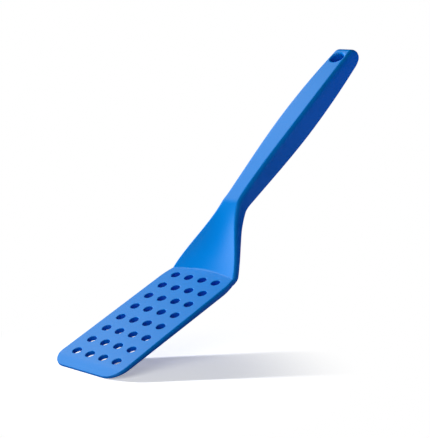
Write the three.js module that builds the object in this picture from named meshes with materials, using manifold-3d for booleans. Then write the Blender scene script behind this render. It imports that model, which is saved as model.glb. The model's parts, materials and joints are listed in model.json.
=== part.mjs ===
// A slotted turner: silicone moulded in two halves round a steel blade plate and a nylon handle core.
// It lies at rest on the heel of its blade and the end of its grip, front edge raised.
import * as THREE from 'three';
import { mergeGeometries, mergeVertices } from 'three/addons/utils/BufferGeometryUtils.js';
import Module from 'manifold-3d';

// Driving dimensions, in millimetres and degrees.
// Blade: front edge to heel crease, and its edges
const bladeLength = 117.6;
const bladeFrontWidth = 62.2;
const bladeTaper = 0.8;
const bladeHeelThickness = 4.9;
const bladeFrontThickness = 2.8;
const frontEdgeThickness = 1.4;
const frontBevelLength = 8.5;
const frontBevelEase = 3;
const frontLipRadius = 0.3;
const frontCornerRadius = 12.5;
const bladeEdgeRadius = 1.5;

// Drain holes
const holeRows = 8;
const holeColumns = 4;
const holeDiameter = 6.3;
const holeFrontMargin = 14.6;
const holeHeelMargin = 7.4;
const holeSideMargin = 11.95;

// Neck: rises from the heel crease to the crest, dished between its rims and crowned below
const neckAngle = 37.55;
const neckLength = 54.26;
const neckDish = 2.6;
const neckCrown = 2;
const crownRampLength = 24;
const heelRadius = 1;
const heelUnderRadius = 15;
const crestRadius = 16;
const crestDepth = 12.7;
const shoulderSetback = 12;
const throatSetforward = 7.5;
const throatWidth = 15.4;

// Grip: a bowed bar, drafted below its parting line, with a hanging hole
const gripLength = 161.2;
const gripAngle = 17;
const gripArch = 2.6;
const gripDepth = 19.2;
const gripEndDepth = 15.1;
const gripWidth = 19.3;
const gripWidestSetforward = 88;
const gripEndWidth = 15;
const gripCornerRadius = 2;
const gripEndRadius = 6;
const gripEndLean = 15;
const gripFootRadius = 3;
const footShare = 0.5;
const gripEdgeRadius = 2.4;
const flankDraft = 6.5;
const partingDepth = 5;
const bandShare = 0.8;
const hangHoleDiameter = 10.4;
const hangHoleSetback = 12.4;

// Stiffeners inside the silicone, and the clearances between the pieces
const plateThickness = 0.8;
const plateHeight = 1.4;
const plateEdgeInset = 5;
const plateCornerRadius = 6;
const holeLiner = 1.6;
const tangLength = 44;
const gripSkin = 2.2;
const coreMouthSetforward = 16;
const coreSlotWall = 1.3;
const hangHoleWall = 4;
const rivetDiameter = 3;
const rivetHeadDiameter = 5.2;
const rivetHeadThickness = 1.2;
const rivetRecess = 1.2;
const rivetSetforward = 11;
const rivetPitch = 22;
const fit = 0.3;
const partingGap = 0.3;

// Facets: how finely the curves are drawn
const topSteps = 3;
const underSteps = 2;
const edgeSteps = 3;
const footSteps = 4;
const bendSteps = 5;
const neckSteps = 10;
const creaseSteps = 3;
const gripSteps = 5;
const partingSteps = 4;
const holeSides = 12;
const linerSides = 8;
const hangHoleSides = 24;
const closestStations = 0.1;
const largestRound = 0.9;
const creaseSharpness = 10;
const touching = 1e-6;
const overrun = 10;

const radians = THREE.MathUtils.degToRad;
const { lerp, smoothstep } = THREE.MathUtils;

function alongRun(degrees) {
  return new THREE.Vector2(Math.cos(radians(degrees)), Math.sin(radians(degrees)));
}

function acrossRun(degrees) {
  return new THREE.Vector2(-Math.sin(radians(degrees)), Math.cos(radians(degrees)));
}

function offset(point, direction, distance) {
  return point.clone().addScaledVector(direction, distance);
}

// How far a round of this radius has drawn an outline in, at a distance from the round's end
function roundInset(radius, distance) {
  const left = radius - THREE.MathUtils.clamp(distance, 0, radius);
  return radius - Math.sqrt(radius * radius - left * left);
}

// Side view: x runs from the front edge to the grip, y is height over the blade's underside
const heelTop = new THREE.Vector2(bladeLength, bladeHeelThickness);
const crestTop = offset(heelTop, alongRun(neckAngle), neckLength);
const endTop = offset(crestTop, alongRun(gripAngle), gripLength);
const gripMiddle = offset(crestTop.clone().lerp(endTop, 0.5), acrossRun(gripAngle), gripArch);
const archTurn = THREE.MathUtils.radToDeg(Math.atan2(4 * gripArch, gripLength));
const heelHalfAngle = neckAngle / 2;
const crestMeanAngle = (neckAngle + gripAngle + archTurn) / 2;
const crestHalfAngle = (neckAngle - gripAngle - archTurn) / 2;

// Straight runs between corners, each inner corner eased by a curve that starts its reach before it
function easedPath(corners) {
  const path = new THREE.Path();
  path.moveTo(corners[0].at.x, corners[0].at.y);
  for (let i = 1; i < corners.length - 1; i++) {
    const { at, reach } = corners[i];
    const [before, after] = [corners[i - 1], corners[i + 1]].map((next) => (
      next.at.clone().sub(at).clampLength(0, reach).multiplyScalar(largestRound).add(at)
    ));
    path.lineTo(before.x, before.y);
    path.quadraticCurveTo(at.x, at.y, after.x, after.y);
  }
  const last = corners[corners.length - 1].at;
  path.lineTo(last.x, last.y);
  return path;
}

// One level of the side view, at the given depths below the top face
function sideProfile({ front, bevel, heel, crest, grip, end, heelBend, crestBend }) {
  const crestAt = offset(crestTop, acrossRun(crestMeanAngle), -crest);
  const endAt = offset(endTop, acrossRun(gripAngle - archTurn + gripEndLean), -end);
  const middle = offset(gripMiddle, acrossRun(gripAngle), -grip);
  const bow = middle.multiplyScalar(2).addScaledVector(crestAt, -0.5).addScaledVector(endAt, -0.5);
  const heelAt = offset(heelTop, acrossRun(heelHalfAngle), -heel / Math.cos(radians(heelHalfAngle)));
  const bevelAt = new THREE.Vector2(frontBevelLength, bladeHeelThickness - bevel);
  return easedPath([
    { at: new THREE.Vector2(0, bladeHeelThickness - front) },
    { at: bevelAt, reach: frontBevelEase },
    { at: heelAt, reach: heelBend * Math.tan(radians(heelHalfAngle)) },
    { at: crestAt, reach: crestBend * Math.tan(radians(crestHalfAngle)) },
    { at: bow, reach: gripLength / 2 },
    { at: endAt },
  ]);
}

// The blade's top is flat up to the bevel of its front edge; its underside rises a little to the front
const bevelThickness = lerp(bladeFrontThickness, bladeHeelThickness, frontBevelLength / bladeLength);
const profiles = {
  top: sideProfile({
    front: bladeFrontThickness - frontEdgeThickness, bevel: 0, heel: 0, crest: 0, grip: 0, end: 0,
    heelBend: heelRadius, crestBend: crestRadius,
  }),
  parting: sideProfile({
    front: bladeFrontThickness - frontEdgeThickness / 2, bevel: bevelThickness - plateHeight,
    heel: bladeHeelThickness - plateHeight, crest: partingDepth, grip: partingDepth, end: gripEndDepth / 2,
    heelBend: (heelRadius + heelUnderRadius) / 2, crestBend: crestRadius,
  }),
  under: sideProfile({
    front: bladeFrontThickness, bevel: bevelThickness, heel: bladeHeelThickness,
    crest: crestDepth, grip: gripDepth, end: gripEndDepth,
    heelBend: heelUnderRadius, crestBend: crestRadius,
  }),
};

// Distances along the top face are the part's stations
const runLengths = profiles.top.curves.map((curve) => curve.getLength());
const totalLength = runLengths.reduce((sum, length) => sum + length, 0);
const heelStation = bladeLength;
const crestStation = heelStation + neckLength;
const shoulderStation = heelStation - shoulderSetback;
const throatStation = crestStation + throatSetforward;
const widestStation = crestStation + gripWidestSetforward;
const bladeHeelWidth = bladeFrontWidth - bladeTaper;

function stationAt(distance) {
  let run = 0;
  let rest = Math.max(distance, 0);
  while (run < runLengths.length - 1 && rest > runLengths[run]) {
    rest -= runLengths[run];
    run += 1;
  }
  const share = Math.min(rest / runLengths[run], 1);
  const along = profiles.parting.curves[run].getTangentAt(share);
  return {
    top: profiles.top.curves[run].getPointAt(share),
    parting: profiles.parting.curves[run].getPointAt(share),
    under: profiles.under.curves[run].getPointAt(share),
    along,
    across: new THREE.Vector2(-along.y, along.x),
  };
}

// Plan view: half the width of the top face at a station, with the corners rounded at both ends
function halfWidthAt(distance) {
  const frontRounding = roundInset(frontCornerRadius, distance);
  const endRounding = roundInset(gripCornerRadius, totalLength - distance);
  if (distance < shoulderStation) {
    return lerp(bladeFrontWidth, bladeHeelWidth, distance / shoulderStation) / 2 - frontRounding;
  }
  if (distance < throatStation) {
    return lerp(bladeHeelWidth, throatWidth, smoothstep(distance, shoulderStation, throatStation)) / 2;
  }
  if (distance < widestStation) {
    return lerp(throatWidth, gripWidth, smoothstep(distance, throatStation, widestStation)) / 2;
  }
  const tail = (distance - widestStation) / (totalLength - widestStation);
  return lerp(gripWidth, gripEndWidth, tail * tail) / 2 - endRounding;
}

// The neck's dish runs out into the crest, and its crown into the blade as well
const crownFull = heelStation + crownRampLength / 2;

function dishAt(distance) {
  return neckDish * (1 - smoothstep(distance, crownFull, crestStation));
}

function crownAt(distance) {
  const runIn = smoothstep(distance, crownFull - crownRampLength, crownFull);
  return neckCrown * runIn * (1 - smoothstep(distance, crownFull, crestStation));
}

// The lesser of two depths, eased where they are nearly the same
function easedLesser(a, b) {
  if (Math.min(a, b) <= 0) return 0;
  return (a * b) / (a ** creaseSharpness + b ** creaseSharpness) ** (1 / creaseSharpness);
}

function addArc(points, centreAcross, centreUp, radius, from, to, steps) {
  for (let i = 0; i <= steps; i++) {
    const angle = radians(lerp(from, to, i / steps));
    points.push([centreAcross + radius * Math.cos(angle), centreUp + radius * Math.sin(angle)]);
  }
}

// Half of a cross-section, from the middle of the top face round the side to the middle of the underside.
// The dish stops at the floor, which is the level of the blade's top.
function halfSection({ halfWidth, depth, band, dish, floor, crown, edgeRadius }) {
  const edge = Math.min(edgeRadius, largestRound * band, largestRound * halfWidth);
  const sideDepth = depth - crown;
  const footHalf = halfWidth - (sideDepth - band) * Math.tan(radians(flankDraft));
  const footRadius = Math.min(footShare * (sideDepth - band), gripFootRadius, largestRound * footHalf);
  const points = [];
  for (let i = 0; i < topSteps; i++) {
    const share = i / topSteps;
    points.push([share * (halfWidth - edge), -easedLesser(dish * (1 - share * share), floor)]);
  }
  addArc(points, halfWidth - edge, -edge, edge, 90, 0, edgeSteps);
  points.push([halfWidth, -band]);
  addArc(points, footHalf - footRadius, footRadius - sideDepth, footRadius, 0, -90, footSteps);
  for (let i = underSteps - 1; i >= 0; i--) {
    const share = i / underSteps;
    points.push([share * (footHalf - footRadius), crown * share * share - depth]);
  }
  return points;
}

// A whole cross-section at a station, drawn in by an even inset, and from above and below by a drop
function ringAt(distance, inset, drop = 0) {
  const { top, parting, under } = stationAt(distance);
  const up = top.clone().sub(under).normalize();
  const onGrip = smoothstep(distance, heelStation, crestStation);
  const half = halfSection({
    halfWidth: halfWidthAt(distance) - inset,
    depth: top.distanceTo(under) - 2 * (inset + drop),
    band: bandShare * (top.distanceTo(parting) - inset - drop),
    dish: dishAt(distance),
    floor: (top.y - bladeHeelThickness) / up.y,
    crown: crownAt(distance),
    edgeRadius: lerp(bladeEdgeRadius, gripEdgeRadius, onGrip),
  });
  const otherHalf = half.slice(1, -1).reverse().map(([across, height]) => [-across, height]);
  return [...half, ...otherHalf].map(([across, height]) => {
    const at = offset(top, up, height - inset - drop);
    return new THREE.Vector3(at.x, across, at.y);
  });
}

// A closed skin over a row of rings with equal point counts
function loft(rings) {
  const count = rings[0].length;
  const indices = [];
  for (let i = 0; i < rings.length - 1; i++) {
    for (let j = 0; j < count; j++) {
      const a = i * count + j;
      const b = i * count + ((j + 1) % count);
      indices.push(a, a + count, b, b, a + count, b + count);
    }
  }
  const lastRing = (rings.length - 1) * count;
  for (let j = 1; j < count - 1; j++) {
    indices.push(0, j, j + 1);
    indices.push(lastRing, lastRing + j + 1, lastRing + j);
  }
  const geometry = new THREE.BufferGeometry().setFromPoints(rings.flat());
  geometry.setIndex(indices);
  return geometry;
}

function isBend(curve) {
  return curve instanceof THREE.QuadraticBezierCurve;
}

function evenSteps(from, to, steps) {
  return Array.from({ length: steps + 1 }, (_, i) => lerp(from, to, i / steps));
}

// Stations between two distances: the steps of every bend and of the plan view, and any extra ones
function stationsBetween(from, to, extra) {
  const stations = [from, to, ...extra];
  stations.push(...evenSteps(shoulderStation, throatStation, neckSteps));
  stations.push(...evenSteps(throatStation, widestStation, gripSteps));
  stations.push(...evenSteps(widestStation, totalLength, gripSteps));
  let start = 0;
  profiles.top.curves.forEach((curve, run) => {
    stations.push(...evenSteps(start, start + runLengths[run], isBend(curve) ? bendSteps : 1));
    start += runLengths[run];
  });
  const inside = stations.filter((distance) => distance >= from && distance <= to);
  inside.sort((a, b) => a - b);
  return inside.filter((distance, i) => i === 0 || distance - inside[i - 1] > closestStations);
}

function roundStations(radius, steps) {
  return evenSteps(90 / steps, 90, steps - 1).map((angle) => radius * (1 - Math.cos(radians(angle))));
}

// Solids: joined and cut
const wasm = await Module();
wasm.setup();

function solidOf(geometry) {
  const bare = geometry.clone();
  bare.deleteAttribute('normal');
  bare.deleteAttribute('uv');
  const merged = mergeVertices(bare);
  return new wasm.Manifold(new wasm.Mesh({
    numProp: 3,
    vertProperties: Float32Array.from(merged.attributes.position.array),
    triVerts: Uint32Array.from(merged.index.array),
  }));
}

function geometryOf(solid) {
  const { vertProperties, triVerts } = solid.getMesh();
  const geometry = new THREE.BufferGeometry();
  geometry.setAttribute('position', new THREE.BufferAttribute(vertProperties, 3));
  geometry.setIndex(new THREE.BufferAttribute(triVerts, 1));
  geometry.computeVertexNormals();
  return geometry;
}

// The whole outside of the silicone, before it is parted and hollowed
const endRound = Math.min(gripEndRadius, largestRound * gripEndDepth / 2);
const creaseBow = neckDish / Math.sin(radians(neckAngle));
const bodyStations = stationsBetween(0, totalLength, [
  ...roundStations(frontLipRadius, 3),
  ...roundStations(frontCornerRadius, 6),
  ...roundStations(endRound, 4).map((distance) => totalLength - distance),
  ...roundStations(gripCornerRadius, 3).map((distance) => totalLength - distance),
  ...evenSteps(heelStation, heelStation + creaseBow, creaseSteps),
]);

const bodyRings = bodyStations.map((distance) => ringAt(
  distance,
  roundInset(frontLipRadius, distance),
  roundInset(endRound, totalLength - distance),
));

// Round holes: upright through the blade, and square through the end of the grip
const rowPitch = (bladeLength - holeFrontMargin - holeHeelMargin) / (holeRows - 1);
const columnPitch = (bladeHeelWidth - 2 * holeSideMargin) / (holeColumns - 1);

function drainPegs(radius, sides) {
  const height = 2 * (bladeHeelThickness + overrun);
  const pegs = [];
  for (let row = 0; row < holeRows; row++) {
    for (let column = 0; column < holeColumns; column++) {
      const peg = new THREE.CylinderGeometry(radius, radius, height, sides);
      peg.rotateX(Math.PI / 2);
      peg.translate(holeFrontMargin + row * rowPitch, (column - (holeColumns - 1) / 2) * columnPitch, 0);
      pegs.push(peg);
    }
  }
  return solidOf(mergeGeometries(pegs));
}

function squareToGrip(geometry, at, across) {
  geometry.rotateX(Math.PI / 2);
  geometry.rotateY(Math.atan2(across.x, across.y));
  return geometry.translate(at.x, 0, at.y);
}

function hangPeg() {
  const { parting, across } = stationAt(totalLength - hangHoleSetback);
  const radius = hangHoleDiameter / 2;
  const peg = new THREE.CylinderGeometry(radius, radius, 2 * (gripDepth + overrun), hangHoleSides);
  return solidOf(squareToGrip(peg, parting, across));
}

// Steel plate: it starts behind the first row of holes, bends up the neck and ends in a tang in the core
const plateFront = holeFrontMargin + rowPitch / 2;
const coreMouth = crestStation + coreMouthSetforward;
const coreEnd = totalLength - hangHoleSetback - hangHoleDiameter / 2 - hangHoleWall;
const tangHalfWidth = halfWidthAt(coreMouth) - gripSkin - coreSlotWall;

function plateSolid(grow) {
  const from = plateFront - grow;
  const to = coreMouth + tangLength + grow;
  const corner = roundStations(plateCornerRadius, 4).map((distance) => plateFront + distance);
  const rings = stationsBetween(from, to, corner).map((distance) => {
    const { parting, across } = stationAt(distance);
    const round = roundInset(plateCornerRadius, distance - plateFront);
    const halfWidth = Math.max(halfWidthAt(distance) - plateEdgeInset - round, tangHalfWidth) + grow;
    const outline = [[-1, 1], [1, 1], [1, -1], [-1, -1]];
    return outline.map(([side, face]) => {
      const at = offset(parting, across, face * (plateThickness / 2 + grow));
      return new THREE.Vector3(at.x, side * halfWidth, at.y);
    });
  });
  return solidOf(loft(rings)).subtract(drainPegs(holeDiameter / 2 + holeLiner - grow, linerSides));
}

// Nylon bar inside the grip
function coreSolid(grow) {
  const stations = stationsBetween(coreMouth - grow, coreEnd + grow, []);
  return solidOf(loft(stations.map((distance) => ringAt(distance, gripSkin - grow))));
}

// Rivets through the tang, their heads sunk into the core's two faces
const rivetStations = [coreMouth + rivetSetforward, coreMouth + rivetSetforward + rivetPitch];

function rivetGeometry(station, grow, headGrow) {
  const { top, parting, under, across } = stationAt(station);
  const headTop = parting.distanceTo(top) - gripSkin - rivetRecess + headGrow;
  const headUnder = gripSkin + rivetRecess - parting.distanceTo(under) - headGrow;
  const shank = rivetDiameter / 2 + grow;
  const head = rivetHeadDiameter / 2 + grow;
  const neckTop = headTop - headGrow - rivetHeadThickness - grow;
  const neckUnder = headUnder + headGrow + rivetHeadThickness + grow;
  const outline = [
    [0, headUnder], [head, headUnder], [head, neckUnder], [shank, neckUnder],
    [shank, neckTop], [head, neckTop], [head, headTop], [0, headTop],
  ];
  const lathe = new THREE.LatheGeometry(outline.map(([x, y]) => new THREE.Vector2(x, y)), holeSides);
  return squareToGrip(lathe, parting, across);
}

const bladeCore = rivetStations.reduce(
  (plate, station) => plate.subtract(solidOf(rivetGeometry(station, fit, overrun))),
  plateSolid(0),
);

const handleCore = rivetStations.reduce(
  (core, station) => core.subtract(solidOf(rivetGeometry(station, fit, overrun))),
  coreSolid(0).subtract(plateSolid(fit)),
);

// The two silicone halves: the body on either side of the parting line, hollowed for what it holds
function besideParting(side) {
  const shift = (side * partingGap) / 2;
  const middles = evenSteps(0.5, partingSteps - 0.5, partingSteps - 1).map((step) => step / partingSteps);
  const line = profiles.parting.curves.filter(isBend).flatMap((curve) => middles.map((share) => {
    const along = curve.getTangent(share);
    return offset(curve.getPoint(share), new THREE.Vector2(-along.y, along.x), shift);
  }));
  const start = stationAt(0);
  const end = stationAt(totalLength);
  const first = offset(offset(start.parting, start.across, shift), start.along, -overrun);
  const last = offset(offset(end.parting, end.across, shift), end.along, overrun);
  const far = side > 0 ? last.y + gripDepth + overrun : -overrun;
  const corners = [new THREE.Vector2(last.x, far), new THREE.Vector2(first.x, far)];
  const width = bladeFrontWidth + Math.abs(bladeTaper) + overrun;
  const slab = new THREE.ExtrudeGeometry(
    new THREE.Shape([first, ...line, last, ...corners]),
    { depth: width, bevelEnabled: false },
  );
  slab.translate(0, 0, -width / 2);
  slab.rotateX(Math.PI / 2);
  return solidOf(slab);
}

const hollows = plateSolid(fit).add(coreSolid(fit));
const holes = drainPegs(holeDiameter / 2, holeSides).add(hangPeg());
const body = solidOf(loft(bodyRings));
const upperSkin = body.intersect(besideParting(1)).subtract(hollows).subtract(holes);
const lowerSkin = body.intersect(besideParting(-1)).subtract(hollows).subtract(holes);

// Materials
const silicone = { color: 0x1f74d6, roughness: 0.5, metalness: 0 };
const springSteel = { color: 0xb8bcc0, roughness: 0.35, metalness: 1 };
const filledNylon = { color: 0x2c2e31, roughness: 0.6, metalness: 0 };

function piece(name, geometry, look) {
  const mesh = new THREE.Mesh(geometry, new THREE.MeshStandardMaterial(look));
  mesh.name = name;
  return mesh;
}

const tool = new THREE.Group();
tool.add(piece('upper_skin', geometryOf(upperSkin), silicone));
tool.add(piece('lower_skin', geometryOf(lowerSkin), silicone));
tool.add(piece('blade_core', geometryOf(bladeCore), springSteel));
tool.add(piece('handle_core', geometryOf(handleCore), filledNylon));
tool.add(piece('tang_rivet_front', rivetGeometry(rivetStations[0], 0, 0), springSteel));
tool.add(piece('tang_rivet_rear', rivetGeometry(rivetStations[1], 0, 0), springSteel));

// The longest line that the underside can stand on, as its slope in radians
function restSlope(points) {
  let longest = 0;
  let slope = 0;
  for (const a of points) {
    for (const b of points) {
      const span = b.x - a.x;
      const rise = (b.z - a.z) / span;
      if (span > longest && points.every((p) => p.z > a.z + rise * (p.x - a.x) - touching)) {
        longest = span;
        slope = Math.atan(rise);
      }
    }
  }
  return slope;
}

const underMiddle = bodyRings.map((ring) => ring[ring.length / 2]);
tool.rotation.y = restSlope(underMiddle);
const reach = new THREE.Box3().setFromObject(tool, true);
tool.position.set(-(reach.min.x + reach.max.x) / 2, 0, -reach.min.z);

const spatula = new THREE.Group();
spatula.add(tool);
export default spatula;
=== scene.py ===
import bisect
import json
import math
import bmesh
import bpy
from mathutils import Matrix, Vector

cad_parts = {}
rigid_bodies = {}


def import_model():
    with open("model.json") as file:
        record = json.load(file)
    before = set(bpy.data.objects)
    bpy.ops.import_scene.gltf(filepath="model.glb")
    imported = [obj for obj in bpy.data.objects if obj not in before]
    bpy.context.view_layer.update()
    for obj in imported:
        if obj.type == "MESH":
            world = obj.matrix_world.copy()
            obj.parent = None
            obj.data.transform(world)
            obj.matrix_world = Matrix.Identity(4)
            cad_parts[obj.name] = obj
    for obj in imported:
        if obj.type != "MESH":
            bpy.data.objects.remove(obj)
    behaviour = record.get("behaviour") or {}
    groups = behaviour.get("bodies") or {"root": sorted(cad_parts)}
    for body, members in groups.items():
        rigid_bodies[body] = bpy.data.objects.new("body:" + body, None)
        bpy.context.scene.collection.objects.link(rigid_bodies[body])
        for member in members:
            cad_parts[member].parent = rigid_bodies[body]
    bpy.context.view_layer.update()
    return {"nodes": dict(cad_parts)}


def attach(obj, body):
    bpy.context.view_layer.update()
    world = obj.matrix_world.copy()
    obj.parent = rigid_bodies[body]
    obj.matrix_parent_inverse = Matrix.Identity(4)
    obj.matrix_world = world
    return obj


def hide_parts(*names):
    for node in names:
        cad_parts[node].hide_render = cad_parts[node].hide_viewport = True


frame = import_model()
print("frame loaded:", ", ".join(sorted(frame["nodes"])))

mm = 0.001
largestRound = 0.9  # share of a run or a face that a round may take
closestRings = 0.02  # mm between rings, below which one is left out
touching = 1e-6  # mm that the underside may dip below the line it stands on
leastStep = 1e-9  # keeps a division away from zero


def lerp(a, b, share):
    return a + (b - a) * share


def smoothStep(value, low, high):
    share = min(max((value - low) / (high - low), 0.0), 1.0)
    return share * share * (3 - 2 * share)


def evenSteps(low, high, steps):
    return [lerp(low, high, i / steps) for i in range(steps + 1)]


# how far a round has drawn an outline in, at a distance from the round's end
def roundInset(radius, distance):
    left = radius - min(max(distance, 0.0), radius)
    return radius - math.sqrt(radius * radius - left * left)


def alongRun(degrees):
    return Vector((math.cos(math.radians(degrees)), math.sin(math.radians(degrees))))


def acrossRun(degrees):
    return Vector((-math.sin(math.radians(degrees)), math.cos(math.radians(degrees))))


# blade: front edge to the crease at its heel, in mm and degrees
blade = {
    "length": 117.6, "frontWidth": 62.2, "taper": 0.8,
    "heelThickness": 4.9, "frontThickness": 2.8, "frontEdge": 1.4, "bevelLength": 8.5, "bevelEase": 3.0,
    "lipRadius": 0.3, "cornerRadius": 12.5, "edgeRadius": 1.5, "partingHeight": 1.4,
}

# neck: rises from the heel to the crest, dished between its rims and crowned below
neck = {
    "angle": 37.55, "length": 54.26, "dish": 2.6, "crown": 2.0, "crownRamp": 24.0, "creaseSharpness": 10.0,
    "heelRadius": 1.0, "heelUnderRadius": 15.0, "crestRadius": 16.0, "crestDepth": 12.7,
    "shoulderSetback": 12.0, "throatSetforward": 7.5, "throatWidth": 15.4,
}

# grip: a bowed bar, upright under its top edge and drafted below
grip = {
    "length": 161.2, "angle": 17.0, "arch": 2.6, "depth": 19.2, "endDepth": 15.1,
    "width": 19.3, "widestSetforward": 88.0, "endWidth": 15.0,
    "cornerRadius": 2.0, "endRadius": 6.0, "endLean": 15.0,
    "footRadius": 3.0, "footShare": 0.5, "edgeRadius": 2.4,
    "draft": 6.5, "partingDepth": 5.0, "bandShare": 0.8,
}

# how finely the silicone is drawn: numbers of steps, and the mm from ring to ring
facets = {
    "top": 20, "edge": 6, "band": 3, "flank": 4, "foot": 8, "under": 10,
    "ring": 2.2, "round": 8, "curve": 96, "crease": 20, "flare": 6, "level": 900,
}

# side view: x from the front edge to the grip, y over the heel's underside
heelTop = Vector((blade["length"], blade["heelThickness"]))
crestTop = heelTop + alongRun(neck["angle"]) * neck["length"]
endTop = crestTop + alongRun(grip["angle"]) * grip["length"]
gripMiddle = (crestTop + endTop) / 2 + acrossRun(grip["angle"]) * grip["arch"]
archTurn = math.degrees(math.atan2(4 * grip["arch"], grip["length"]))
heelHalf = neck["angle"] / 2
crestMean = (neck["angle"] + grip["angle"] + archTurn) / 2
crestHalf = (neck["angle"] - grip["angle"] - archTurn) / 2


# straight runs with every inner corner eased: each run is the control points of a curve
def easedRuns(corners):
    runs, start = [], corners[0][0]
    for before, (at, reach), after in zip(corners, corners[1:], corners[2:]):
        ends = []
        for beside in (before[0], after[0]):
            step = beside - at
            ends.append(at + step * min(1.0, reach / step.length) * largestRound)
        runs.append([start, ends[0]])
        runs.append([ends[0], at, ends[1]])
        start = ends[1]
    runs.append([start, corners[-1][0]])
    return runs


# one level of the side view, at depths below the top face
def sideRuns(front, bevel, heel, crest, middle, end, heelBend, crestBend):
    crestAt = crestTop - acrossRun(crestMean) * crest
    endAt = endTop - acrossRun(grip["angle"] - archTurn + grip["endLean"]) * end
    middleAt = gripMiddle - acrossRun(grip["angle"]) * middle
    bow = middleAt * 2 - crestAt * 0.5 - endAt * 0.5
    heelAt = heelTop - acrossRun(heelHalf) * heel / math.cos(math.radians(heelHalf))
    return easedRuns([
        (Vector((0, blade["heelThickness"] - front)), 0),
        (Vector((blade["bevelLength"], blade["heelThickness"] - bevel)), blade["bevelEase"]),
        (heelAt, heelBend * math.tan(math.radians(heelHalf))),
        (crestAt, crestBend * math.tan(math.radians(crestHalf))),
        (bow, grip["length"] / 2),
        (endAt, 0),
    ])


def curvePoint(run, share):
    if len(run) == 2:
        return run[0].lerp(run[1], share)
    return run[0].lerp(run[1], share).lerp(run[1].lerp(run[2], share), share)


# points of a run with the distance to each, so that a share of its length can be found
def measured(run):
    points = [curvePoint(run, share) for share in evenSteps(0, 1, facets["curve"])]
    lengths = [0.0]
    for a, b in zip(points, points[1:]):
        lengths.append(lengths[-1] + (b - a).length)
    return points, lengths


def pointAlong(run, share):
    points, lengths = run
    target = share * lengths[-1]
    i = min(max(bisect.bisect_right(lengths, target), 1), len(points) - 1)
    step = (target - lengths[i - 1]) / (lengths[i] - lengths[i - 1])
    return points[i - 1].lerp(points[i], step)


bevelThickness = lerp(blade["frontThickness"], blade["heelThickness"],
                      blade["bevelLength"] / blade["length"])
levels = {
    "top": sideRuns(blade["frontThickness"] - blade["frontEdge"], 0, 0, 0, 0, 0,
                    neck["heelRadius"], neck["crestRadius"]),
    "parting": sideRuns(blade["frontThickness"] - blade["frontEdge"] / 2,
                        bevelThickness - blade["partingHeight"],
                        blade["heelThickness"] - blade["partingHeight"],
                        grip["partingDepth"], grip["partingDepth"], grip["endDepth"] / 2,
                        (neck["heelRadius"] + neck["heelUnderRadius"]) / 2, neck["crestRadius"]),
    "under": sideRuns(blade["frontThickness"], bevelThickness, blade["heelThickness"],
                      neck["crestDepth"], grip["depth"], grip["endDepth"],
                      neck["heelUnderRadius"], neck["crestRadius"]),
}
levels = {name: [measured(run) for run in runs] for name, runs in levels.items()}

# stations are distances along the top face
runLengths = [lengths[-1] for points, lengths in levels["top"]]
totalLength = sum(runLengths)
heelStation = blade["length"]
crestStation = heelStation + neck["length"]
shoulderStation = heelStation - neck["shoulderSetback"]
throatStation = crestStation + neck["throatSetforward"]
widestStation = crestStation + grip["widestSetforward"]
heelWidth = blade["frontWidth"] - blade["taper"]


def stationAt(distance):
    run, rest = 0, max(distance, 0.0)
    while run < len(runLengths) - 1 and rest > runLengths[run]:
        rest -= runLengths[run]
        run += 1
    share = min(rest / runLengths[run], 1.0)
    return {name: pointAlong(runs[run], share) for name, runs in levels.items()}


def halfWidthAt(distance):
    if distance < shoulderStation:
        width = lerp(blade["frontWidth"], heelWidth, distance / shoulderStation)
        return width / 2 - roundInset(blade["cornerRadius"], distance)
    if distance < throatStation:
        share = smoothStep(distance, shoulderStation, throatStation)
        return lerp(heelWidth, neck["throatWidth"], share) / 2
    if distance < widestStation:
        share = smoothStep(distance, throatStation, widestStation)
        return lerp(neck["throatWidth"], grip["width"], share) / 2
    tail = (distance - widestStation) / (totalLength - widestStation)
    width = lerp(grip["width"], grip["endWidth"], tail * tail)
    return width / 2 - roundInset(grip["cornerRadius"], totalLength - distance)


# the neck's dish runs out into the crest, and its crown into the blade as well
crownFull = heelStation + neck["crownRamp"] / 2


def dishAt(distance):
    return neck["dish"] * (1 - smoothStep(distance, crownFull, crestStation))


def crownAt(distance):
    runIn = smoothStep(distance, crownFull - neck["crownRamp"], crownFull)
    return neck["crown"] * runIn * (1 - smoothStep(distance, crownFull, crestStation))


# the lesser of two depths, eased where they are nearly the same
def easedLesser(a, b):
    if min(a, b) <= 0:
        return 0.0
    power = neck["creaseSharpness"]
    return a * b / (a ** power + b ** power) ** (1 / power)


def arcPoints(centre, radius, startAngle, endAngle, steps):
    angles = [math.radians(angle) for angle in evenSteps(startAngle, endAngle, steps)]
    return [(centre[0] + radius * math.cos(a), centre[1] + radius * math.sin(a)) for a in angles]


# half of a cross-section: middle of the top face, round the side, to the middle of the underside;
# the dish stops at the level of the blade's top
def halfSection(halfWidth, depth, band, edgeRadius, dish=0.0, overBlade=0.0, crown=0.0):
    edge = min(edgeRadius, largestRound * band, largestRound * halfWidth)
    sideDepth = depth - crown
    footHalf = halfWidth - (sideDepth - band) * math.tan(math.radians(grip["draft"]))
    footRadius = min(grip["footShare"] * (sideDepth - band), grip["footRadius"], largestRound * footHalf)
    points = [(share * (halfWidth - edge), -easedLesser(dish * (1 - share * share), overBlade))
              for share in evenSteps(0, 1, facets["top"])[:-1]]
    points += arcPoints((halfWidth - edge, -edge), edge, 90, 0, facets["edge"])
    points += [(halfWidth, lerp(-edge, -band, share)) for share in evenSteps(0, 1, facets["band"])[1:]]
    foot = arcPoints((footHalf - footRadius, footRadius - sideDepth), footRadius, 0, -90, facets["foot"])
    points += [(lerp(halfWidth, foot[0][0], share), lerp(-band, foot[0][1], share))
               for share in evenSteps(0, 1, facets["flank"])[1:-1]]
    points += foot
    points += [(share * foot[-1][0], crown * share * share - depth)
               for share in evenSteps(1, 0, facets["under"])[1:]]
    return points


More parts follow.
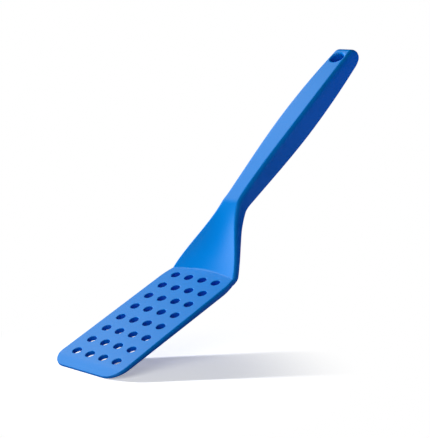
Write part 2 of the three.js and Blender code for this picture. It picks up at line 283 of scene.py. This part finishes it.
# a whole cross-section, drawn in at the rounded ends
def ringAt(distance):
    inset = roundInset(blade["lipRadius"], distance)
    drop = inset + roundInset(grip["endRadius"], totalLength - distance)
    at = stationAt(distance)
    depth = (at["top"] - at["under"]).length
    upward = (at["top"] - at["under"]) / depth
    onGrip = smoothStep(distance, heelStation, crestStation)
    half = halfSection(
        halfWidthAt(distance) - inset, depth - 2 * drop,
        grip["bandShare"] * ((at["top"] - at["parting"]).length - drop),
        lerp(blade["edgeRadius"], grip["edgeRadius"], onGrip),
        dishAt(distance), (at["top"].y - blade["heelThickness"]) / upward.y, crownAt(distance),
    )
    ring = half + [(-across, height) for across, height in reversed(half[1:-1])]
    ring = [(at["top"] + upward * (height - drop), across) for across, height in ring]
    return [Vector((point.x, across, point.y)) for point, across in ring]


def roundStations(radius):
    return [radius * (1 - math.cos(math.radians(angle)))
            for angle in evenSteps(0, 90, facets["round"])]


def bodyStations():
    stations = evenSteps(0, totalLength, round(totalLength / facets["ring"]))
    for radius in (blade["lipRadius"], blade["cornerRadius"]):
        stations += roundStations(radius)
    for radius in (grip["endRadius"], grip["cornerRadius"]):
        stations += [totalLength - distance for distance in roundStations(radius)]
    creaseReach = 2 * neck["dish"] / math.sin(math.radians(neck["angle"]))
    stations += evenSteps(heelStation, heelStation + creaseReach, facets["crease"])
    start = 0.0
    for length in runLengths:
        if length < neck["heelUnderRadius"]:  # short runs are bends
            stations += evenSteps(start, start + length, facets["round"])
        start += length
    stations.sort()
    return [s for before, s in zip([-1.0] + stations, stations) if s - before > closestRings]


# the longest line that the underside can stand on, as the tool's tilt
def restTilt(points):
    longest, slope = 0.0, 0.0
    for a in points:
        for b in points:
            span = b.x - a.x
            if span <= longest:
                continue
            rise = (b.z - a.z) / span
            if all(p.z > a.z + rise * (p.x - a.x) - touching for p in points):
                longest, slope = span, math.atan(rise)
    return slope


rings = [ringAt(distance) for distance in bodyStations()]
ringSize = len(rings[0])
tilt = restTilt([ring[ringSize // 2] for ring in rings])
turned = Matrix.Rotation(tilt, 4, "Y")
corners = [turned @ point for ring in rings for point in ring]
middleX = (min(c.x for c in corners) + max(c.x for c in corners)) / 2
lowestZ = min(c.z for c in corners)
toRow = Matrix.Scale(mm, 4) @ Matrix.Translation((-middleX, 0, -lowestZ)) @ turned
print(f"tool shape: {len(rings)} rings, lying at {math.degrees(tilt):.2f} degrees")


def meshObject(name, points, faces):
    mesh = bpy.data.meshes.new(name)
    mesh.from_pydata([tuple(point) for point in points], [], faces)
    made = bpy.data.objects.new(name, mesh)
    bpy.context.scene.collection.objects.link(made)
    return made


# a closed skin over rings of equal size, appended to the lists
def addSkin(points, faces, skinRings):
    first, size = len(points), len(skinRings[0])
    points += [point for ring in skinRings for point in ring]
    for i in range(len(skinRings) - 1):
        for j in range(size):
            a, b = first + i * size + j, first + i * size + (j + 1) % size
            faces.append((a, a + size, b + size, b))
    last = first + (len(skinRings) - 1) * size
    faces.append([first + j for j in range(size)])
    faces.append([last + j for j in reversed(range(size))])


# drain holes and hanging hole: cut by spools, whose flared ends leave rounded rims
drainHoles = {
    "rows": 8, "columns": 4, "diameter": 6.3, "rim": 0.45,
    "frontMargin": 14.6, "heelMargin": 7.4, "sideMargin": 11.95, "sides": 40,
}
hangingHole = {
    "diameter": 10.4, "setback": 12.4, "rim": 1.3, "underRim": 0.3, "underReach": 0.2, "sides": 56,
}
flareAngle = 72.0  # degrees, where the rim's round runs out into the face
flareReach = 1.2  # mm that the flare goes on, past the face
capClearance = 2.0  # mm that a spool stands out of the body
hangSpan = 0.5  # mm on either side of the hanging hole, over which the grip's direction is taken


# rings of a spool: (radius, end, height over that end's face)
def spoolEnd(radius, rim, reach):
    arc = []
    for angle in evenSteps(0, flareAngle, facets["flare"]):
        turn = math.radians(angle)
        arc.append((radius + rim * (1 - math.cos(turn)), rim * (math.sin(turn) - 1)))
    turn = math.radians(flareAngle)
    arc.append((arc[-1][0] + math.sin(turn) * reach, arc[-1][1] + math.cos(turn) * reach))
    return arc


def spoolProfile(hole):
    radius = hole["diameter"] / 2
    lower = spoolEnd(radius, hole.get("underRim", hole["rim"]), hole.get("underReach", flareReach))
    upper = spoolEnd(radius, hole["rim"], flareReach)
    return ([(across, "under", -height) for across, height in reversed(lower)]
            + [(across, "top", height) for across, height in upper])


samples = [stationAt(distance) for distance in evenSteps(0, totalLength, facets["level"])]


# height of a level of the side view in a frame set at a point, for a place along it
def levelHeight(name, origin, along, across):
    table = sorted(((s[name] - origin).dot(along), (s[name] - origin).dot(across)) for s in samples)
    places = [place for place, height in table]

    def heightAt(place):
        i = min(max(bisect.bisect(places, place), 1), len(table) - 1)
        (x0, z0), (x1, z1) = table[i - 1], table[i]
        return lerp(z0, z1, (place - x0) / max(x1 - x0, leastStep))
    return heightAt


# how far the grip's rounded edge has left its top face or its underside, at a distance from the middle
def edgeFall(halfWidth, depth, band, aside, onTop):
    half = halfSection(halfWidth, depth, band, grip["edgeRadius"])
    if onTop:
        table = sorted((across, -height) for across, height in half if height > -band)
    else:
        table = sorted((across, height + depth) for across, height in half if height < -band)
    i = min(max(bisect.bisect([across for across, fall in table], aside), 1), len(table) - 1)
    (x0, z0), (x1, z1) = table[i - 1], table[i]
    return lerp(z0, z1, min((aside - x0) / max(x1 - x0, leastStep), 1.0))


def addSpool(points, faces, hole, origin, along, across, sideways, heights):
    spool = []
    for radius, end, height in spoolProfile(hole):
        ring = []
        for k in range(hole["sides"]):
            angle = 2 * math.pi * k / hole["sides"]
            place, aside = radius * math.cos(angle), radius * math.sin(angle)
            at = origin + along * place + across * (heights[end](place, aside) + height)
            ring.append(Vector((at.x, sideways + aside, at.y)))
        spool.append(ring)
    clear = Vector((across.x, 0, across.y)) * capClearance
    spool = [[point - clear for point in spool[0]]] + spool + [[point + clear for point in spool[-1]]]
    addSkin(points, faces, spool)


points, faces = [], []
addSkin(points, faces, rings)
silicone = meshObject("silicone_body", points, faces)

points, faces = [], []
rowPitch = ((blade["length"] - drainHoles["frontMargin"] - drainHoles["heelMargin"])
            / (drainHoles["rows"] - 1))
columnPitch = (heelWidth - 2 * drainHoles["sideMargin"]) / (drainHoles["columns"] - 1)
bladeAxes = (Vector((1, 0)), Vector((0, 1)))
for row in range(drainHoles["rows"]):
    origin = Vector((drainHoles["frontMargin"] + row * rowPitch, 0))
    levelTop, levelUnder = (levelHeight(name, origin, *bladeAxes) for name in ("top", "under"))
    heights = {"top": lambda place, aside: levelTop(place),
               "under": lambda place, aside: levelUnder(place)}
    for column in range(drainHoles["columns"]):
        sideways = (column - (drainHoles["columns"] - 1) / 2) * columnPitch
        addSpool(points, faces, drainHoles, origin, *bladeAxes, sideways, heights)

hangAt = totalLength - hangingHole["setback"]
hangStation = stationAt(hangAt)
hangAlong = (stationAt(hangAt + hangSpan)["parting"] - stationAt(hangAt - hangSpan)["parting"]).normalized()
hangAxes = (hangAlong, Vector((-hangAlong.y, hangAlong.x)))
hangTop, hangUnder = (levelHeight(name, hangStation["parting"], *hangAxes) for name in ("top", "under"))
hangDepth = (hangStation["top"] - hangStation["under"]).length
hangBand = grip["bandShare"] * (hangStation["top"] - hangStation["parting"]).length
hangSection = (halfWidthAt(hangAt), hangDepth, hangBand)
hangHeights = {
    "top": lambda place, aside: hangTop(place) - edgeFall(*hangSection, abs(aside), True),
    "under": lambda place, aside: hangUnder(place) + edgeFall(*hangSection, abs(aside), False),
}
addSpool(points, faces, hangingHole, hangStation["parting"], *hangAxes, 0, hangHeights)
spools = meshObject("spools", points, faces)

for each in (silicone, spools):
    shape = bmesh.new()
    shape.from_mesh(each.data)
    bmesh.ops.recalc_face_normals(shape, faces=shape.faces)
    shape.to_mesh(each.data)
    shape.free()
cut = silicone.modifiers.new("holes", "BOOLEAN")
cut.operation, cut.solver, cut.object = "DIFFERENCE", "MANIFOLD", spools
bpy.context.view_layer.update()
graph = bpy.context.evaluated_depsgraph_get()
silicone.data = bpy.data.meshes.new_from_object(silicone.evaluated_get(graph))
silicone.modifiers.clear()
silicone.data.transform(toRow)
bpy.data.objects.remove(spools)
silicone.data.name = "silicone_body"
for polygon in silicone.data.polygons:
    polygon.use_smooth = True
weighted = silicone.modifiers.new("even shading", "WEIGHTED_NORMAL")
weighted.keep_sharp = True
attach(silicone, "root")
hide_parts("upper_skin", "lower_skin")
print(f"silicone body: {len(silicone.data.polygons)} faces")


def linearColour(hexCode):
    channels = [int(hexCode[i:i + 2], 16) / 255 for i in (1, 3, 5)]
    return [c / 12.92 if c <= 0.04045 else ((c + 0.055) / 1.055) ** 2.4 for c in channels] + [1.0]


def addNode(tree, kind, settings=None, links=None):
    node = tree.nodes.new(kind)
    for name, value in (settings or {}).items():
        if isinstance(name, int) or name in node.inputs:
            node.inputs[name].default_value = value
        else:
            setattr(node, name, value)
    for name, source in (links or {}).items():
        tree.links.new(source, node.inputs[name])
    return node


def newMaterial(name):
    material = bpy.data.materials.new(name)
    material.use_nodes = True
    material.node_tree.nodes.clear()
    return material, material.node_tree


# moulded silicone: one blue right through, faintly mottled, with painted shade inside the holes (a deeper
# blue wherever ambient occlusion finds walls close by), under a satin skin with the fine grain of a blasted
# mould; the grain, really about 0.1 mm, is drawn coarser so that it shows
siliconeFinish = {
    "colour": "#0084dd", "deep": "#007ed6", "mottle": 26 * mm,
    # painted shade inside the holes: its deeper blue, and the reach and openness range of the occlusion
    # that lays it on
    "paintedHoleShade": "#0030b8", "recess": 9.5 * mm, "openness": (0.45, 0.8),
    "roughness": (0.2, 0.27), "smear": 11 * mm, "ior": 1.41, "specular": 1.0,
    "grain": 0.9 * mm, "grainDepth": 0.006 * mm, "grainBump": 0.15,
}


def mouldedSilicone(look):
    material, tree = newMaterial("moulded silicone")
    place = addNode(tree, "ShaderNodeTexCoord").outputs["Object"]
    mottle = addNode(tree, "ShaderNodeTexNoise", {
        "Scale": 1 / look["mottle"], "Detail": 3.0}, {"Vector": place})
    mottled = addNode(tree, "ShaderNodeMix", {
        "data_type": "RGBA", 6: linearColour(look["deep"]), 7: linearColour(look["colour"])},
        {"Factor": mottle.outputs["Fac"]})
    # painted shade: where ambient occlusion finds walls close, as inside the holes, the base colour is
    # mixed towards a deeper blue
    recess = addNode(tree, "ShaderNodeAmbientOcclusion", {
        "samples": 8, "only_local": True, "Distance": look["recess"]})
    openness = addNode(tree, "ShaderNodeMapRange", {
        "From Min": look["openness"][0], "From Max": look["openness"][1]}, {"Value": recess.outputs["AO"]})
    colour = addNode(tree, "ShaderNodeMix", {"data_type": "RGBA", 6: linearColour(look["paintedHoleShade"])},
                     {"Factor": openness.outputs["Result"], 7: mottled.outputs[2]})
    smear = addNode(tree, "ShaderNodeTexNoise", {
        "Scale": 1 / look["smear"], "Detail": 4.0}, {"Vector": place})
    rough = addNode(tree, "ShaderNodeMapRange", {
        "To Min": look["roughness"][0], "To Max": look["roughness"][1]}, {"Value": smear.outputs["Fac"]})
    grain = addNode(tree, "ShaderNodeTexNoise", {
        "Scale": 1 / look["grain"], "Detail": 2.0}, {"Vector": place})
    bump = addNode(tree, "ShaderNodeBump", {
        "Strength": look["grainBump"], "Distance": look["grainDepth"]}, {"Height": grain.outputs["Fac"]})
    skin = addNode(tree, "ShaderNodeBsdfPrincipled", {
        "IOR": look["ior"], "Specular IOR Level": look["specular"]}, {
        "Base Color": colour.outputs[2], "Roughness": rough.outputs["Result"],
        "Normal": bump.outputs["Normal"]})
    addNode(tree, "ShaderNodeOutputMaterial", None, {"Surface": skin.outputs["BSDF"]})
    return material


silicone.data.materials.clear()
silicone.data.materials.append(mouldedSilicone(siliconeFinish))

# rolled spring steel: a cool grey sheet with fine lines along its rolling direction, drawn coarser
# than the real ones of about 0.05 mm
steelFinish = {
    "light": "#c3c7cb", "dark": "#a3a8ad", "line": 0.4 * mm, "length": 14 * mm, "roughness": 0.34,
    "lineDepth": 0.01 * mm, "lineBump": 0.2,
}


def rolledSteel(look):
    material, tree = newMaterial("rolled spring steel")
    place = addNode(tree, "ShaderNodeTexCoord").outputs["Object"]
    stretch = addNode(tree, "ShaderNodeMapping", {
        "Scale": (1 / look["length"], 1 / look["line"], 1 / look["line"])}, {"Vector": place})
    lines = addNode(tree, "ShaderNodeTexNoise", {
        "Scale": 1.0, "Detail": 3.0}, {"Vector": stretch.outputs["Vector"]})
    ramp = addNode(tree, "ShaderNodeValToRGB", None, {"Fac": lines.outputs["Fac"]})
    ramp.color_ramp.elements[0].color = linearColour(look["dark"])
    ramp.color_ramp.elements[1].color = linearColour(look["light"])
    bump = addNode(tree, "ShaderNodeBump", {
        "Strength": look["lineBump"], "Distance": look["lineDepth"]}, {"Height": lines.outputs["Fac"]})
    metal = addNode(tree, "ShaderNodeBsdfPrincipled", {"Metallic": 1.0, "Roughness": look["roughness"]}, {
        "Base Color": ramp.outputs["Color"], "Normal": bump.outputs["Normal"]})
    addNode(tree, "ShaderNodeOutputMaterial", None, {"Surface": metal.outputs["BSDF"]})
    return material


# glass-filled nylon, moulded: dull near-black with paler flecks of fibre, drawn coarser than real fibres
nylonFinish = {
    "base": "#2b2d30", "fleck": "#4a4d51", "fibre": 0.6 * mm, "flecked": (0.5, 0.8),
    "roughness": 0.62, "ior": 1.53,
}


def filledNylon(look):
    material, tree = newMaterial("moulded filled nylon")
    place = addNode(tree, "ShaderNodeTexCoord").outputs["Object"]
    flecks = addNode(tree, "ShaderNodeTexNoise", {
        "Scale": 1 / look["fibre"], "Detail": 4.0}, {"Vector": place})
    ramp = addNode(tree, "ShaderNodeValToRGB", None, {"Fac": flecks.outputs["Fac"]})
    stops = zip(ramp.color_ramp.elements, look["flecked"], (look["base"], look["fleck"]))
    for stop, position, colour in stops:
        stop.position, stop.color = position, linearColour(colour)
    skin = addNode(tree, "ShaderNodeBsdfPrincipled", {"IOR": look["ior"], "Roughness": look["roughness"]},
                   {"Base Color": ramp.outputs["Color"]})
    addNode(tree, "ShaderNodeOutputMaterial", None, {"Surface": skin.outputs["BSDF"]})
    return material


steel, nylon = rolledSteel(steelFinish), filledNylon(nylonFinish)
for name, material in (("blade_core", steel), ("tang_rivet_front", steel),
                       ("tang_rivet_rear", steel), ("handle_core", nylon)):
    node = frame["nodes"][name]
    node.data.materials.clear()
    node.data.materials.append(material)
print("materials: silicone, steel and nylon")

# camera: where the tool is seen from, in the tool's own frame (mm)
photoCamera = {
    "place": (-395.19, -609.84, 411.76),
    "right": (0.640343, -0.723823, -0.256984), "up": (0.480265, 0.116209, 0.869391),
    "focalPixels": 1321.66, "frameHeight": 438, "sensor": 36.0, "clip": (0.01, 50.0),
    "floorUp": (0.372, 0.0, 0.928),
}
toRowTurn = toRow.to_3x3().normalized()
cameraRight, cameraUp = (toRowTurn @ Vector(photoCamera[name]).normalized() for name in ("right", "up"))
cameraBack = cameraRight.cross(cameraUp)
lens = bpy.data.cameras.new("camera")
lens.sensor_width = photoCamera["sensor"]
lens.lens = photoCamera["focalPixels"] * photoCamera["sensor"] / photoCamera["frameHeight"]
lens.clip_start, lens.clip_end = photoCamera["clip"]
camera = bpy.data.objects.new("camera", lens)
camera.matrix_world = Matrix.Translation(toRow @ Vector(photoCamera["place"])) @ Matrix(
    (cameraRight, cameraUp, cameraBack)).transposed().to_4x4()
bpy.context.scene.collection.objects.link(camera)
bpy.context.scene.camera = camera

# floor: the tool stands on its front edge, so the floor leans against the lying tool
floorUp = toRowTurn @ Vector(photoCamera["floorUp"]).normalized()
floorRight = cameraRight
floorAway = floorUp.cross(floorRight)
standing = min((vertex.co for vertex in silicone.data.vertices), key=lambda co: co.dot(floorUp))
studio = {
    "floorSize": 0.8, "paper": "#fcfcfc", "bounce": "#5c6690", "glow": 0.34,
    "worldFill": 0.07, "fillTint": "#c8d4ff", "backdrop": "#ffffff",
    "shadowMiddle": (0.022, 0.0, 0.008), "shadowNear": 0.045, "shadowFar": 0.14,
    # white cards in the tool's sheen: level, and ways (right, up, away) with the cosines where each runs in
    "cards": [
        (1.0, [((-1.0, 0.0, 0.0), 0.14, 0.4), ((0.0, 0.0, 1.0), 0.12, 0.34)]),
        (0.8, [((0.0, -0.3, 0.95), 0.88, 0.97)]),
    ],
    "aim": (0.1, 0.08, 0.02),
    # name, place (right, up and away of the standing point), width and height, watts, colour, in the sheen
    "lamps": [
        ("key", (-1.42, 0.72, 0.92), (0.07, 0.07), 47.0, "#ffffff", False),
        ("sheen", (-0.54, 1.1, 1.02), (0.32, 0.32), 0.1, "#ffffff", True),
        ("fill", (-0.7, 0.75, -1.15), (1.6, 1.6), 17.0, "#ffffff", False),
        ("kick", (0.45, -0.03, 0.24), (0.4, 0.4), 1.6, "#86b0ff", False),
    ],
}


def inStudio(right, up, away):
    return Vector(standing) + floorRight * right + floorUp * up + floorAway * away


# 1 for rays that a surface mirrors, and 1 for rays from the camera or through glass
def seenRays(tree):
    rays = addNode(tree, "ShaderNodeLightPath").outputs
    direct = addNode(tree, "ShaderNodeMath", {"operation": "MAXIMUM"}, {
        0: rays["Is Camera Ray"], 1: rays["Is Transmission Ray"]})
    return rays["Is Glossy Ray"], direct.outputs[0]


# matt white paper: takes the shadow beside the tool and runs out to plain white further off;
# seen from one side only
def mattPaper(look):
    material, tree = newMaterial("matt white paper")
    direct = seenRays(tree)[1]
    place = addNode(tree, "ShaderNodeTexCoord").outputs["Object"]
    away = addNode(tree, "ShaderNodeVectorMath", {
        "operation": "DISTANCE", 1: inStudio(*look["shadowMiddle"])}, {0: place})
    fade = addNode(tree, "ShaderNodeMapRange", {
        "interpolation_type": "SMOOTHSTEP", "From Min": look["shadowNear"], "From Max": look["shadowFar"],
    }, {"Value": away.outputs["Value"]})
    paper = addNode(tree, "ShaderNodeBsdfDiffuse", {"Color": linearColour(look["paper"])})
    glow = addNode(tree, "ShaderNodeEmission", {"Strength": look["glow"]})
    shaded = addNode(tree, "ShaderNodeAddShader", None, {0: paper.outputs[0], 1: glow.outputs[0]})
    white = addNode(tree, "ShaderNodeEmission", {"Strength": 1.0})
    front = addNode(tree, "ShaderNodeMixShader", None, {
        0: fade.outputs["Result"], 1: shaded.outputs[0], 2: white.outputs[0]})
    dull = addNode(tree, "ShaderNodeBsdfDiffuse", {"Color": linearColour(look["bounce"])})
    facing = addNode(tree, "ShaderNodeMixShader", None, {
        0: direct, 1: dull.outputs[0], 2: front.outputs[0]})
    clear = addNode(tree, "ShaderNodeBsdfTransparent")
    behind = addNode(tree, "ShaderNodeNewGeometry").outputs["Backfacing"]
    oneSided = addNode(tree, "ShaderNodeMixShader", None, {
        0: behind, 1: facing.outputs[0], 2: clear.outputs[0]})
    addNode(tree, "ShaderNodeOutputMaterial", None, {"Surface": oneSided.outputs[0]})
    return material


reach = studio["floorSize"] / 2
floor = meshObject("floor", [inStudio(*corner) for corner in (
    (-reach, 0, -reach), (reach, 0, -reach), (reach, 0, reach), (-reach, 0, reach))], [(0, 1, 2, 3)])
floor.data.materials.append(mattPaper(studio))

world = bpy.data.worlds.new("studio")
bpy.context.scene.world = world
world.use_nodes = True
tree = world.node_tree
tree.nodes.clear()
mirrored, direct = seenRays(tree)
gaze = addNode(tree, "ShaderNodeTexCoord").outputs["Generated"]
shown = direct
for level, ramps in studio["cards"]:
    card = addNode(tree, "ShaderNodeMath", {"operation": "MULTIPLY", 1: level}, {0: mirrored}).outputs[0]
    for way, start, full in ramps:
        toward = addNode(tree, "ShaderNodeVectorMath", {
            "operation": "DOT_PRODUCT", 1: (inStudio(*way) - inStudio(0, 0, 0)).normalized()}, {0: gaze})
        ramp = addNode(tree, "ShaderNodeMapRange", {
            "interpolation_type": "SMOOTHSTEP", "From Min": start, "From Max": full},
            {"Value": toward.outputs["Value"]})
        card = addNode(tree, "ShaderNodeMath", {"operation": "MULTIPLY"}, {
            0: card, 1: ramp.outputs["Result"]}).outputs[0]
    shown = addNode(tree, "ShaderNodeMath", {"operation": "MAXIMUM"}, {0: shown, 1: card}).outputs[0]
dim = addNode(tree, "ShaderNodeMath", {
    "operation": "MULTIPLY_ADD", 1: -studio["worldFill"], 2: studio["worldFill"]}, {0: mirrored})
strength = addNode(tree, "ShaderNodeMath", {"operation": "MAXIMUM"}, {0: shown, 1: dim.outputs[0]})
inView = addNode(tree, "ShaderNodeMath", {"operation": "MAXIMUM"}, {0: direct, 1: mirrored})
tint = addNode(tree, "ShaderNodeMix", {
    "data_type": "RGBA", 6: linearColour(studio["fillTint"]), 7: linearColour(studio["backdrop"])},
    {"Factor": inView.outputs[0]})
sky = addNode(tree, "ShaderNodeBackground", None, {
    "Color": tint.outputs[2], "Strength": strength.outputs[0]})
addNode(tree, "ShaderNodeOutputWorld", None, {"Surface": sky.outputs["Background"]})

for name, place, size, power, colour, inSheen in studio["lamps"]:
    lamp = bpy.data.lights.new(name, "AREA")
    lamp.shape, lamp.energy = "RECTANGLE", power
    lamp.size, lamp.size_y = size
    lamp.color = linearColour(colour)[:3]
    holder = bpy.data.objects.new(name, lamp)
    back = (inStudio(*place) - inStudio(*studio["aim"])).normalized()
    aside = floorUp.cross(back).normalized()
    holder.matrix_world = Matrix.Translation(inStudio(*place)) @ Matrix(
        (aside, back.cross(aside), back)).transposed().to_4x4()
    holder.visible_glossy = inSheen
    bpy.context.scene.collection.objects.link(holder)
bpy.context.scene.view_settings.view_transform = "Standard"
print("camera, floor and lamps in place")
